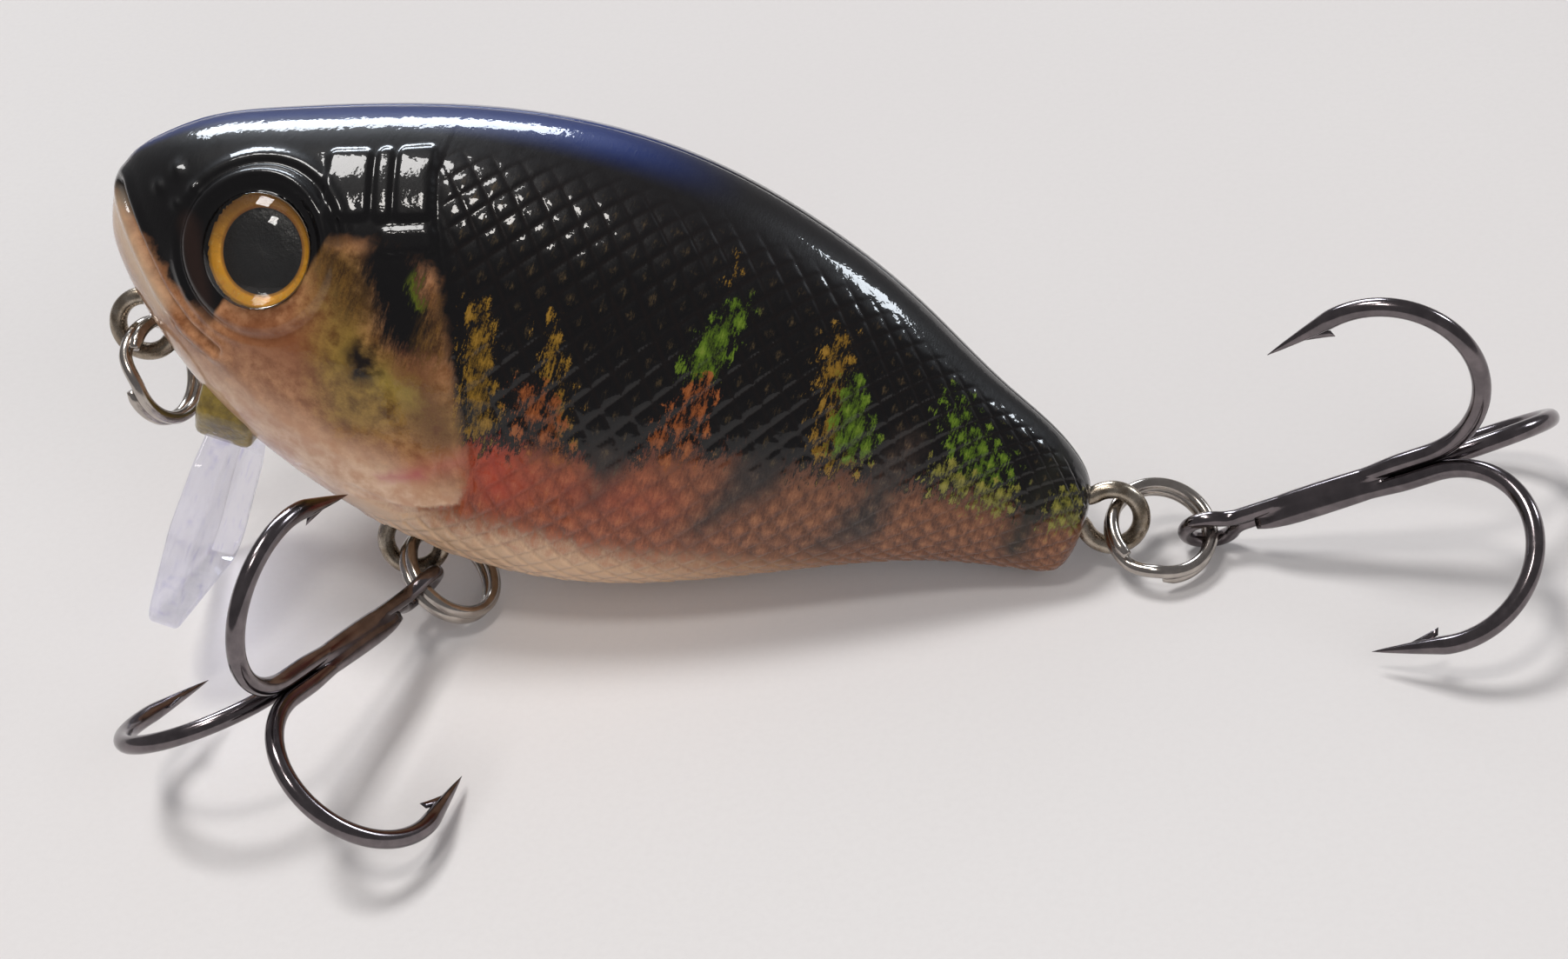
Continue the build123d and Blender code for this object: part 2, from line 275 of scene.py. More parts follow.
TEMPLE = [
    ((13.4, 3.8), (14.9, 1.6), 1.4, 1.2, 0.6, 1.0, "black"),
    ((15.9, 3.4), (16.3, 1.2), 0.5, 0.7, 0.7, 0.9, "rusty"),
    ((14.5, 3.6), (15.1, 2.6), 0.1, 0.1, 0.3, 0.8, (104, 116, 28)),
]
BROW_AND_JAW = [
    ((4.4, 2.2), (6.3, -1.1), 0.5, 0.35, 0.35, 0.8, (40, 26, 21)),
    ((0.4, 0.9), (3.6, -1.9), 0.6, 0.6, 0.6, 0.85, (206, 178, 148)),
]
THROAT_BLUSH = [
    ((15.3, -5.7), (16.8, -5.0), 0.05, 0.15, 0.5, 0.8, (176, 82, 104)),
    ((16.6, -5.0), (18.6, -3.4), 0.2, 0.3, 0.9, 0.7, (186, 104, 92)),
]
# Windows of colour in the dark back: as above, but with the share that the black leaves whole
WINDOWS = [
    ((17.5, 3.2), (18.8, -1.4), 0.6, 0.9, 0.9, 0.9, "olive"),
    ((20.6, 4.0), (22.2, -1.2), 0.7, 1.3, 1.0, 0.62, "olive"),
    ((20.8, 0.2), (22.4, -2.2), 1.3, 1.4, 1.0, 0.7, "rust"),
    ((27.2, 8.4), (27.2, 7.4), 0.4, 0.6, 0.7, 0.5, "olive"),
    ((27.7, 6.4), (27.1, 3.9), 0.5, 0.9, 0.9, 0.9, "green"),
    ((27.4, 3.0), (27.0, 0.2), 0.9, 1.6, 0.9, 0.62, "rust"),
    ((32.4, 6.2), (33.8, 2.0), 0.8, 1.5, 0.9, 0.7, "olive"),
    ((33.4, 4.8), (34.2, 2.4), 0.6, 1.0, 0.8, 0.85, "green"),
    ((37.8, 5.0), (40.0, 2.2), 0.6, 1.6, 1.1, 0.72, "green"),
    ((38.2, 2.0), (41.0, 1.4), 0.7, 0.9, 1.0, 0.8, "lime"),
    ((43.9, 1.8), (44.6, -0.9), 0.8, 1.0, 0.8, 0.85, "lime"),
]


def body_paint():
    f = Finish("perch_paint")
    u0, v0, w0 = f.split(f.attribute("lure"))
    sx, sy, scaled = f.split(f.attribute("scale"))
    flank = f.join(u0, v0, abs(w0))
    wide = f.noise(flank, 0.5, 3.0)
    mid = f.noise(flank, 1.7, 4.0)
    streak = f.noise(f.join(u0 * 4.4, v0 * 0.9, abs(w0)), 1.0, 4.0, 0.68)
    fine = f.noise(f.join(u0 * 13.0, v0 * 3.6, abs(w0) * 3.0), 1.0, 4.0, 0.7)
    speck = f.noise(flank, 10.0, 3.0, 0.75)
    # where the paint lies: exact, with brushed edges, and with softly wandering edges
    sharp = (u0, v0)
    brushed = u, v = (u0 + wide * 0.45 + streak * 0.3 + fine * 0.15,
                      v0 + wide * 0.5 + streak * 1.1 + fine * 0.45)
    calm = calm_u, calm_v = (u0 + wide * 0.5 + mid * 0.45, v0 + wide * 0.5 + mid * 0.55)

    # every scale is lighter on its crown and darker along its edge
    p = ((sx + sy).fract() - 0.5) * 2.0
    q = ((sx - sy).fract() - 0.5) * 2.0
    edge = abs(p).high(abs(q))
    net = edge.step(0.66, 1.0) * scaled
    crown = edge.step(0.75, 0.1) * scaled
    life = streak * 0.9 + fine * 0.7 + speck * 0.35 + crown * 0.35

    def shade(value, start, end, dark, light):
        """A tone that runs from dark to light with a noise."""
        return f.mix(value.step(start, end), srgb(*dark), srgb(*light))

    tones = {
        "black": BLACK,
        "olive": shade(life, -0.3, 0.6, (36, 26, 8), (136, 102, 30)),
        "rust": shade(life, -0.3, 0.6, (40, 20, 10), (138, 74, 34)),
        "green": shade(life, -0.35, 0.7, (20, 28, 5), (88, 116, 24)),
        "lime": shade(life, -0.35, 0.7, (44, 46, 14), (128, 124, 52)),
        "grey": shade(life, -0.5, 0.9, (24, 20, 20), (72, 58, 50)),
        "rusty": shade(life, -0.5, 0.8, (38, 24, 12), (112, 80, 32)),
        "olive skin": shade(mid + speck * 0.4, -0.6, 0.6, (84, 58, 24), (146, 116, 56)),
    }

    def patches(colour, table, place):
        """A table's patches of paint, laid over a colour in turn."""
        for a, b, ra, rb, soft, strength, tone in table:
            above = tones[tone] if isinstance(tone, str) else srgb(*tone)
            colour = f.mix(capsule(*place, a, b, ra, rb, soft) * strength, colour, above)
        return colour

    # lower flank: orange-brown at the front, tan towards the tail, cream belly
    low = shade(life + mid * 0.5, -0.7, 0.9, (88, 40, 25), (168, 92, 58))
    tan = shade(life, -0.6, 0.9, (74, 42, 28), (150, 98, 66))
    low = f.mix(u.step(23.0, 33.0), low, tan)
    under = shade(u, 22.0, 38.0, (212, 176, 142), (140, 98, 62))
    under = f.mix(mid.step(0.0, 0.6) * 0.4, under, srgb(198, 146, 118))
    low = f.mix((calm_v + life * 0.8 - course(u0, BELLY_LINE)).step(1.2, -1.2), low, under)
    low = patches(low, FLANK_BLUSH, calm)

    # dark back with olive, rust and green windows, which streaks of black break up
    # painted reflection: the black turns a little greyer towards the top of the back, as the ceiling's
    # reflection
    back = f.mix((calm_v - 7.0).step(-1.0, 3.0), BLACK, srgb(20, 18, 19))
    for a, b, ra, rb, soft, share, tone in WINDOWS:
        spot = capsule(u, v, a, b, ra, rb, soft)
        broken = (spot * 0.9 + life * 1.1 + (share - 1.1)).step(0.34, 0.6)
        back = f.mix(broken * spot.step(0.02, 0.35), back, tones[tone])
    body = f.mix((v + life * 1.1 - course(u0, WATERLINE)).step(-0.45, 0.35), low, back)

    # bars that reach down over the lower flank
    body = patches(body, BARS, brushed)

    # head: pinkish skin and cream under a black top
    skin = shade(mid + speck * 0.3, -0.6, 0.7, (122, 74, 42), (192, 140, 100))
    cream = shade(mid + wide, -0.6, 0.8, (200, 154, 122), (236, 206, 176))
    head = f.mix((calm_v + calm_u * 0.12).step(-1.8, -4.4), skin, cream)
    head = patches(head, CHEEK, calm)
    stain = capsule(calm_u, calm_v, (15.2, 0.8), (17.4, -2.6), 0.9, 0.7, 1.0)
    head = f.mix(stain * mid.step(-0.4, 0.3, 0.2, 0.9), head, srgb(84, 44, 26))
    head = patches(head, CHEEK_MARKS, calm)
    head = patches(head, TEMPLE, brushed)
    head = f.mix((calm_v - course(u0 + mid * 0.2, HEAD_LINE)).step(-0.4, 0.4), head, BLACK)
    head = patches(head, BROW_AND_JAW, sharp)
    head = patches(head, THROAT_BLUSH, calm)

    # the gill cover's edge divides the head from the body
    gill = u0 + course(v0, GILL_LINE)
    body = f.mix((gill - 17.2 + mid * 0.35 + streak * 0.3).step(0.35, -0.35), body, head)

    # painted reflection: a blue band of sky reflection along the top of the front half
    ridge = (abs(w0) / (v0.high(0.6))).step(0.3, 0.12) * v0.step(2.0, 4.5) * u0.step(27.0, 19.0)
    body = f.mix(ridge * 0.9, body, srgb(18, 48, 120))

    # paint settles in the scale edges
    worn = (streak * 0.5 + mid * 0.5).step(-0.6, 0.6, 0.04, 0.3)
    body = f.mix(net * worn, body, srgb(30, 18, 12))
    body = f.mix(crown * (life.step(0.2, 1.0) * 0.14), body, srgb(196, 164, 112))

    relief = fine * 0.35 + streak * 0.4 + net * -0.8
    bump = f.bump(relief, 0.2, 0.00006)
    shader = f.shader(body, bump, mid.step(-1, 1, 0.3, 0.45), IOR=1.3, Specular_IOR_Level=0.25,
                      Coat_Weight=1.0, Coat_Roughness=0.03, Coat_IOR=1.37)
    wave = f.bump(f.noise(flank, 2.4, 2.0) + fine * 0.05 + net * -0.3, 0.1, 0.00008)
    f.tree.links.new(wave, shader.inputs["Coat Normal"])
    return f.material


# ---- Body surface
# Each station of the body: u, top, bottom, half width
STATIONS = np.array([
    (-0.2, 1.6, 1.6, 0.0), (0.3, 3.3, -0.6, 1.4), (1.2, 4.3, -1.9, 2.5), (3.0, 5.7, -3.7, 3.85),
    (6.0, 7.1, -6.0, 5.2), (10.0, 8.6, -8.0, 6.2), (15.0, 10.1, -9.5, 6.6), (20.0, 10.9, -9.95, 6.5),
    (25.0, 10.8, -9.2, 6.15), (30.0, 9.75, -7.3, 5.4), (35.0, 7.9, -4.9, 4.35),
    (40.0, 5.4, -2.95, 3.1), (43.5, 3.7, -2.2, 2.2), (44.8, 2.35, -1.55, 1.45), (45.15, 0.5, 0.5, 0.0),
])
ROWS, COLUMNS = 440, 210
EYE_AT = (7.6, 2.4, 5.45)
EYE_FACING = np.array([-0.26, 0.2, 0.94]) / np.linalg.norm([-0.26, 0.2, 0.94])
EYE_RADIUS, EYE_RIM, POCKET_DEPTH = 2.5, 0.12, 0.95
RECESS_RADIUS, RECESS_HALF_WIDTH = 1.7, 2.5
WALL, WALL_ROWS = 1.3, 9
SCALE_CROWN, SCALE_TILT = 0.07, 0.075


def spline(t, known_t, known):
    """A natural cubic spline through known values."""
    n = len(known_t)
    h = np.diff(known_t)
    a = np.zeros((n, n))
    b = np.zeros((n,) + known.shape[1:])
    a[0, 0] = a[-1, -1] = 1
    for i in range(1, n - 1):
        a[i, i - 1], a[i, i], a[i, i + 1] = h[i - 1], 2 * (h[i - 1] + h[i]), h[i]
        b[i] = 6 * ((known[i + 1] - known[i]) / h[i] - (known[i] - known[i - 1]) / h[i - 1])
    m = np.linalg.solve(a, b)
    k = np.clip(np.searchsorted(known_t, t) - 1, 0, n - 2)
    x0, x1 = (known_t[k + 1] - t)[:, None], (t - known_t[k])[:, None]
    hk = h[k][:, None]
    return ((m[k] * x0**3 + m[k + 1] * x1**3) / (6 * hk)
            + (known[k] / hk - m[k] * hk / 6) * x0 + (known[k + 1] / hk - m[k + 1] * hk / 6) * x1)


def smooth(start, end, x):
    t = np.clip((x - start) / (end - start), 0, 1)
    return t * t * (3 - 2 * t)


def bell(x, width):
    return np.exp(-((x / width) ** 2))


def from_line(x, y, points):
    """Distance from a run of straight lines."""
    best = np.full(x.shape, 1e9)
    for (x0, y0), (x1, y1) in zip(points, points[1:]):
        dx, dy = x1 - x0, y1 - y0
        t = np.clip(((x - x0) * dx + (y - y0) * dy) / (dx * dx + dy * dy), 0, 1)
        best = np.minimum(best, np.hypot(x - x0 - t * dx, y - y0 - t * dy))
    return best


def plate(u, v, centre, half, turn=20):
    """1 on a raised plate with rounded corners, 0 off it."""
    c, s = cos(radians(turn)), sin(radians(turn))
    x = abs((u - centre[0]) * c + (v - centre[1]) * s) - half[0] + 0.3
    y = abs(-(u - centre[0]) * s + (v - centre[1]) * c) - half[1] + 0.3
    gap = np.hypot(np.maximum(x, 0), np.maximum(y, 0)) + np.minimum(np.maximum(x, y), 0) - 0.3
    return smooth(0.14, -0.16, gap)


def travelled(points):
    """Distance along the top line from its start to each point."""
    return np.concatenate([[0], np.cumsum(np.hypot(np.diff(points[:, 0]), np.diff(points[:, 1])))])


profile_t = travelled(STATIONS)
fine_t = np.linspace(0, profile_t[-1], 2000)
rows_t = spline(fine_t, profile_t, STATIONS)
run = travelled(rows_t)
even = np.interp(np.linspace(0, run[-1], ROWS), run, fine_t)
row_u, row_top, row_bottom, row_half = spline(even, profile_t, STATIONS).T
row_half = np.maximum(row_half, 0)
row_half[0] = row_half[-1] = 0
girth = pi * np.sqrt((row_half**2 + ((row_top - row_bottom) / 2) ** 2) / 2)
# scales are larger where the body is stouter
pitch = 0.78 + 0.52 * np.clip(girth / 26, 0, 1)
row_x = np.concatenate([[0], np.cumsum(np.diff(row_u) / ((pitch[1:] + pitch[:-1]) / 2))])
GILL_EDGE = [(13.9, 7.6), (14.6, 6.0), (15.5, 4.4), (17.0, 1.2), (18.6, -3.2), (19.1, -4.7),
             (18.4, -6.2), (16.6, -7.3), (14.0, -7.0)]
GILL_U, GILL_V = np.array(GILL_EDGE[7::-1]).T
SCALES_FROM_V = [-9.5, -7.3, -6.2, -4.7, -3.2, 1.2, 4.4, 6.0, 9.0]
SCALES_FROM_U = [13.0, 16.6, 18.4, 19.1, 18.6, 17.0, 15.5, 14.6, 13.2]
MOUTH = [(0.4, 2.0), (1.3, 1.3), (2.3, 0.4), (3.9, -1.1), (5.4, -2.1), (6.9, -2.6)]
THROAT_FOLD = [(7.5, -3.2), (10.5, -4.8), (14, -5.4)]
# Rings round the eye: radius and width
EYE_RIDGE, UPPER_LID, LID_GROOVE, LOWER_LID = (3.25, 0.36), (4.1, 0.28), (3.72, 0.2), (3.95, 0.22)
# Raised plates behind the eye: centre, half size and height
PLATES = [((10.55, 6.15), (0.95, 1.25), 0.15), ((12.0, 6.65), (0.36, 1.3), 0.15),
          ((13.25, 7.1), (0.8, 1.3), 0.15), ((13.75, 5.0), (1.2, 0.5), 0.13)]
# Bumps on the snout: place and size
BUMPS = [((2.4, 3.0), 0.3), ((2.95, 3.95), 0.33), ((3.5, 2.75), 0.26), ((4.1, 3.6), 0.26)]
BUMP_HEIGHT = 0.13


def relief(u, v, w, sx, sy, scaled):
    """How far the moulded detail stands off the smooth body."""
    p = 2 * np.abs((sx + sy) % 1 - 0.5)
    q = 2 * np.abs((sx - sy) % 1 - 0.5)
    edge = np.maximum(p, q)
    rise = ((sx + sy) % 1 + (sx - sy) % 1) / 2
    h = scaled * (SCALE_CROWN * (1 - edge**4) + SCALE_TILT * (rise - 0.5))

    # ridges and a groove round the eye, with the upper lid heaviest
    out = np.stack([u, v, np.abs(w)], -1) - np.array(EYE_AT)
    deep = out @ EYE_FACING
    rho = np.sqrt(np.maximum((out**2).sum(-1) - deep**2, 0))
    near = smooth(4.5, 3.0, np.abs(deep))
    up = out[..., 1] / np.maximum(rho, 0.1)
    fore = -out[..., 0] / np.maximum(rho, 0.1)

    def ring(radius, width):
        return near * bell(rho - radius, width)

    h = h + (0.26 + 0.14 * up) * ring(*EYE_RIDGE)
    h = h + 0.12 * ring(*UPPER_LID) * smooth(-0.1, 0.5, up)
    h = h - 0.1 * ring(*LID_GROOVE)
    h = h + 0.12 * ring(*LOWER_LID) * smooth(0.1, 0.7, -up) * smooth(-0.5, 0.2, fore)

    for centre, half, height in PLATES:
        h = h + height * plate(u, v, centre, half)
    edge_gap = from_line(u, v, GILL_EDGE)
    ahead = u < np.interp(v, GILL_V, GILL_U)
    h = h + np.where(ahead, 0.08 * bell(edge_gap, 1.1), 0) - 0.05 * bell(edge_gap - 0.12, 0.16)
    mouth_gap = from_line(u, v, MOUTH)
    h = h - 0.2 * bell(mouth_gap, 0.17) + 0.1 * bell(mouth_gap - 0.45, 0.25)
    for at, size in BUMPS:
        h = h + BUMP_HEIGHT * bell(np.hypot(u - at[0], v - at[1]), size)

    # the seam: a crease on the nose and a fine line all round
    h = h - 0.16 * bell(w, 0.16) * smooth(3.6, 2.0, u) * smooth(0, 1.5, v)
    h = h - 0.03 * bell(w, 0.1)
    return h + 0.05 * bell(from_line(u, v, THROAT_FOLD), 0.4)


def grid_faces(rows, columns, offset=0, flip=False):
    i, j = np.meshgrid(np.arange(rows - 1), np.arange(columns - 1), indexing="ij")
    a = (i * columns + j).ravel() + offset
    quads = np.stack([a, a + 1, a + columns + 1, a + columns], 1)
    return quads[:, ::-1] if flip else quads


def add_mesh(name, points, faces, material, body, attributes=None):
    """A mesh from lure points, welded, riding on a CAD body."""
    mesh = bpy.data.meshes.new(name)
    mesh.from_pydata(to_row(points).tolist(), [], [tuple(int(k) for k in f) for f in faces])
    for key, values in (attributes or {}).items():
        layer = mesh.attributes.new(key, "FLOAT_VECTOR", "POINT")
        layer.data.foreach_set("vector", np.asarray(values, np.float32).ravel())
    welded = bmesh.new()
    welded.from_mesh(mesh)
    bmesh.ops.remove_doubles(welded, verts=welded.verts, dist=1e-6)
    bmesh.ops.dissolve_degenerate(welded, edges=welded.edges, dist=1e-7)
    bmesh.ops.recalc_face_normals(welded, faces=welded.faces)
    welded.to_mesh(mesh)
    welded.free()
    mesh.shade_smooth()
    obj = bpy.data.objects.new(name, mesh)
    bpy.context.scene.collection.objects.link(obj)
    obj.data.materials.append(material)
    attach(obj, body)
    return obj


paint = body_paint()


def body_half(name, side):
    """One side's skin with its moulded detail, closed by an inner wall; side is 1 left, -1 right."""
    a = np.linspace(0, pi, COLUMNS)
    mid = ((row_top + row_bottom) / 2)[:, None]
    tall = ((row_top - row_bottom) / 2)[:, None]
    u = np.repeat(row_u[:, None], COLUMNS, 1)
    v = mid + tall * np.cos(a)[None, :]
    w = row_half[:, None] * np.sin(a)[None, :]
    base = np.stack([u, v, w], -1)
    along = np.gradient(base, axis=0)
    around = np.gradient(base, axis=1)
    normal = np.cross(around, along)
    normal /= np.maximum(np.linalg.norm(normal, axis=-1, keepdims=True), 1e-9)
    outward = base - np.stack([np.clip(u, 3, 42), np.repeat(mid, COLUMNS, 1), np.zeros_like(u)], -1)
    normal *= np.where((normal * outward).sum(-1, keepdims=True) < 0, -1, 1)
    normal[..., 2][:, 0] = normal[..., 2][:, -1] = 0
    normal[0] = (-1, 0, 0)
    normal[-1] = (1, 0, 0)

    sx = np.repeat(row_x[:, None], COLUMNS, 1)
    sy = (a[None, :] - pi / 2) / pi * (girth * 0.8 + 5.0)[:, None] / (1.12 * pitch)[:, None]
    behind_gill = smooth(0.15, 0.9, u - np.interp(v, SCALES_FROM_V, SCALES_FROM_U))
    below_ridge = smooth(0.42, 0.72, a[None, :])
    above_keel = smooth(3.08, 2.8, a[None, :])
    scaled = behind_gill * below_ridge * above_keel * smooth(45.2, 44.2, u)
    h = relief(u, v, w, sx, sy, scaled)
    surface = base + normal * h[..., None]

    # eye pocket
    eye = np.array(EYE_AT)
    rel = surface - eye
    depth = rel @ EYE_FACING
    flat = rel - depth[..., None] * EYE_FACING
    rho = np.linalg.norm(flat, axis=-1)
    inside = (rho < EYE_RADIUS) & (np.abs(depth) < 3.5) & (w > 2)
    rim = inside & (rho > EYE_RADIUS - EYE_RIM)
    floor = eye + flat - POCKET_DEPTH * EYE_FACING
    surface = np.where((inside & ~rim)[..., None], floor, surface)
    snapped = eye + flat * (EYE_RADIUS / np.maximum(rho, 0.1))[..., None] + depth[..., None] * EYE_FACING
    surface = np.where(rim[..., None], snapped, surface)

    # recess round the belly eye
    du = surface[..., 0] - BELLY_EYE[0]
    in_recess = (np.abs(du) < RECESS_RADIUS) & (surface[..., 2] < RECESS_HALF_WIDTH) & (v < -6)
    roof = BELLY_EYE[1] + np.sqrt(np.maximum(RECESS_RADIUS**2 - du**2, 0))
    edge_fade = smooth(RECESS_HALF_WIDTH, RECESS_HALF_WIDTH - 0.3, surface[..., 2])
    lifted = surface[..., 1] + (np.maximum(surface[..., 1], roof) - surface[..., 1]) * edge_fade
    surface[..., 1] = np.where(in_recess, lifted, surface[..., 1])

    # inner wall, closed to the outer one along the middle plane
    b = np.linspace(0, pi, WALL_ROWS)
    r_tall = np.maximum(tall[:, 0] - WALL, 0.12 * tall[:, 0])[:, None]
    r_half = np.maximum(row_half - WALL, 0.12 * row_half)[:, None]
    inner_u = np.clip(row_u, 1.0, 44.4)[:, None]
    inner = np.stack([np.repeat(inner_u, WALL_ROWS, 1), mid + r_tall * np.cos(b)[None, :],
                      r_half * np.sin(b)[None, :]], -1)
    points = np.concatenate([surface.reshape(-1, 3), inner.reshape(-1, 3)])
    n = ROWS * COLUMNS
    faces = [grid_faces(ROWS, COLUMNS), grid_faces(ROWS, WALL_ROWS, n, True)]
    i = np.arange(ROWS - 1)
    for outer_j, inner_j in ((0, 0), (COLUMNS - 1, WALL_ROWS - 1)):
        o, k = i * COLUMNS + outer_j, n + i * WALL_ROWS + inner_j
        faces.append(np.stack([o, o + COLUMNS, k + WALL_ROWS, k], 1))
    points[:, 2] = np.where(np.abs(points[:, 2]) < 1e-6, 0, points[:, 2]) * side
    lure = np.concatenate([base.reshape(-1, 3), inner.reshape(-1, 3)]) * (1, 1, side)
    plain = np.zeros((len(points) - n, 3))
    scale = np.concatenate([np.stack([sx, sy, scaled], -1).reshape(-1, 3), plain])
    return add_mesh(name, points, np.concatenate(faces), paint, "lure",
                    {"lure": lure, "scale": scale})


left_skin = body_half("left_body_skin", 1)
right_skin = body_half("right_body_skin", -1)
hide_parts("left_shell")
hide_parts("right_shell")


# ---- Wire
def hoop_faces(rows, n):
    """Faces between rows of n points that close on themselves."""
    return [(i * n + j, i * n + (j + 1) % n, (i + 1) * n + (j + 1) % n, (i + 1) * n + j)
            for i in range(rows - 1) for j in range(n)]


def capped_faces(rows, n):
    """The same, with a fan at each end to the two points after the rows."""
    last = (rows - 1) * n
    return (hoop_faces(rows, n) + [(rows * n, (j + 1) % n, j) for j in range(n)]
            + [(rows * n + 1, last + j, last + (j + 1) % n) for j in range(n)])


def tube(points, radii, sides):
    """Round wire through points, with a radius at each, closed at both ends."""
    points = np.asarray(points, float)
    radii = np.broadcast_to(np.asarray(radii, float), (len(points),))
    tangent = np.gradient(points, axis=0)
    tangent /= np.linalg.norm(tangent, axis=1, keepdims=True)
    n = np.cross(tangent[0], (0.3, 0.5, 0.8))
    n /= np.linalg.norm(n)
    rings = []
    for c, t, r in zip(points, tangent, radii):
        n = n - t * (n @ t)
        n /= np.linalg.norm(n)
        m = np.cross(t, n)
        angle = np.linspace(0, 2 * pi, sides, endpoint=False)[:, None]
        rings.append(c + r * (np.cos(angle) * n + np.sin(angle) * m))
    return np.concatenate(rings + [points[:1], points[-1:]]), capped_faces(len(points), sides)


def merge(*parts):
    """Several meshes as one."""
    verts, faces, base = [], [], 0
    for v, f in parts:
        verts.append(np.asarray(v))
        faces += [tuple(k + base for k in face) for face in f]
        base += len(v)
    return np.concatenate(verts), faces


def arc(centre, radius, start, end, count):
    """Flat points on an arc, its ends in degrees."""
    a = np.radians(np.linspace(start, end, count))
    return np.stack([centre[0] + radius * np.cos(a), centre[1] + radius * np.sin(a)], 1)


def eye_course(radius, blend, half_gap, leg_end):
    """Wire round an eye with its two legs side by side, as flat points."""
    meet = sqrt((radius + blend) ** 2 - (half_gap + blend) ** 2)
    turn = np.degrees(atan2(half_gap + blend, meet))
    leg = np.linspace(leg_end, meet, 16)[:-1]
    parts = [
        np.stack([leg, np.full(len(leg), -half_gap)], 1),
        arc((meet, -half_gap - blend), blend, 90, 180 - turn, 10)[:-1],
        arc((0, 0), radius, -turn, turn - 360, 60),
        arc((meet, half_gap + blend), blend, 180 + turn, 270, 10)[1:],
        np.stack([leg[::-1], np.full(len(leg), half_gap)], 1),
    ]
    return np.concatenate(parts)


def steel(name, colour, roughness, grain, dark=None):
    """Plated or drawn wire: hazy tone, fine scratches."""
    f = Finish(name)
    where = f.place()
    haze = f.noise(where, 1.6, 4.0)
    scratch = f.noise(where, 14.0, 5.0, 0.7)
    dull = dark or tuple(c * 0.72 for c in colour[:3]) + (1.0,)
    shiny = tuple(min(1, c * 1.3) for c in colour[:3]) + (1.0,)
    tone = f.mix(haze.step(-0.5, 0.6), dull, colour)
    tone = f.mix(scratch.step(0.25, 0.6) * 0.3, tone, shiny)
    bump = f.bump(scratch + haze * 0.4, grain, 0.00003)
    rough = (haze * 0.4 + scratch).step(-1, 1, roughness * 0.7, roughness * 1.4)
    f.shader(tone, bump, rough, Metallic=1.0)
    return f.material


nickel = steel("black_nickel", srgb(128, 120, 122), 0.15, 0.012, srgb(104, 98, 100))
bright = steel("stainless_ring", srgb(196, 188, 180), 0.17, 0.04)
wire_finish = steel("stainless_wire", srgb(186, 176, 162), 0.26, 0.06, srgb(128, 114, 96))

HANGER_WIRE, HANGER_LOOP, HANGER_LEG_GAP, EYE_BLEND = 0.4, 1.3, 0.5, 1.2


def hanger(name, node, eye, angle, leg_end):
    """A wire eye whose legs run into the body at an angle."""
    flat = eye_course(HANGER_LOOP, EYE_BLEND, HANGER_LEG_GAP, leg_end)
    c, s = cos(radians(angle)), sin(radians(angle))
    points = np.stack([eye[0] + flat[:, 0] * c - flat[:, 1] * s,
                       eye[1] + flat[:, 0] * s + flat[:, 1] * c, np.zeros(len(flat))], 1)
    verts, faces = tube(points, HANGER_WIRE, 20)
    piece = add_mesh(name, verts, faces, wire_finish, "lure")
    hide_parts(node)


hanger("line_tie", "line_tie_wire", NOSE_EYE, 48, 6.2)
hanger("belly_eye", "belly_hanger", BELLY_EYE, 90, 5.2)
hanger("tail_eye", "tail_hanger", TAIL_EYE, 182, 6.5)

RING_WIRE, RING_RADIUS, RING_TURN, RING_POINTS = 0.295, 2.225, 0.25, 190


def ring_frame(eye, swing, tilt):
    """Centre, outward, across and normal of a split ring, in the lure's frame."""
    a, b = radians(swing), radians(tilt)
    outward = np.array([cos(a), sin(a), 0])
    side = np.array([0, 0, 1.0])
    across = side * cos(b) + np.cross(side, outward) * sin(b)
    return np.array([eye[0], eye[1], 0]) + outward * RING_RADIUS, outward, across, np.cross(outward, across)


def split_ring(name, node, body, where, start):
    """Two turns of one wire, with a step where the turns change over."""
    centre, x, y, z = where
    turn = np.radians(np.linspace(24, 696, RING_POINTS))
    lift = RING_TURN * (2 * smooth(radians(338), radians(382), turn) - 1)
    swing = turn + radians(start)
    circle = np.cos(swing)[:, None] * x + np.sin(swing)[:, None] * y
    points = centre + RING_RADIUS * circle + lift[:, None] * z
    from_end = np.minimum(np.arange(RING_POINTS), np.arange(RING_POINTS)[::-1])
    verts, faces = tube(points, RING_WIRE * np.minimum(1, 0.7 + 0.3 * from_end / 3), 16)
    piece = add_mesh(name, verts, faces, bright, body)
    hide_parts(node)


nose_ring = ring_frame(NOSE_EYE, -56, -20)
belly_ring = ring_frame(BELLY_EYE, -26, -20)
tail_ring = ring_frame(TAIL_EYE, 3.5, -39.5)
split_ring("nose_ring_wire", "nose_split_ring", "nose_ring", nose_ring, 110)
split_ring("belly_ring_wire", "belly_split_ring", "belly_ring", belly_ring, 250)
split_ring("tail_ring_wire", "tail_split_ring", "tail_ring", tail_ring, 100)


# ---- Treble hooks
HOOK_WIRE, HOOK_EYE, SHANK_OFFSET = 0.4, 1.075, 0.48
BEND_START, BEND_RADIUS, BEND_ANGLE, POINT_RUN = 10.7, 3.9, 100.8, 3.2
SINGLE_FROM, BRAZE_TO = 2.6, 8.0
# the brazed bundle: how much closer the shanks lie, and how much thinner they look
SQUEEZE, THINNED = 0.08, 0.06
# Barb: distance back from the tip, rise off the wire, half thickness
BARB_ROWS = [(1.25, 0.02, 0.06), (1.75, 0.22, 0.12), (2.25, 0.44, 0.1), (2.75, 0.68, 0.05),
             (2.95, 0.78, 0.012)]
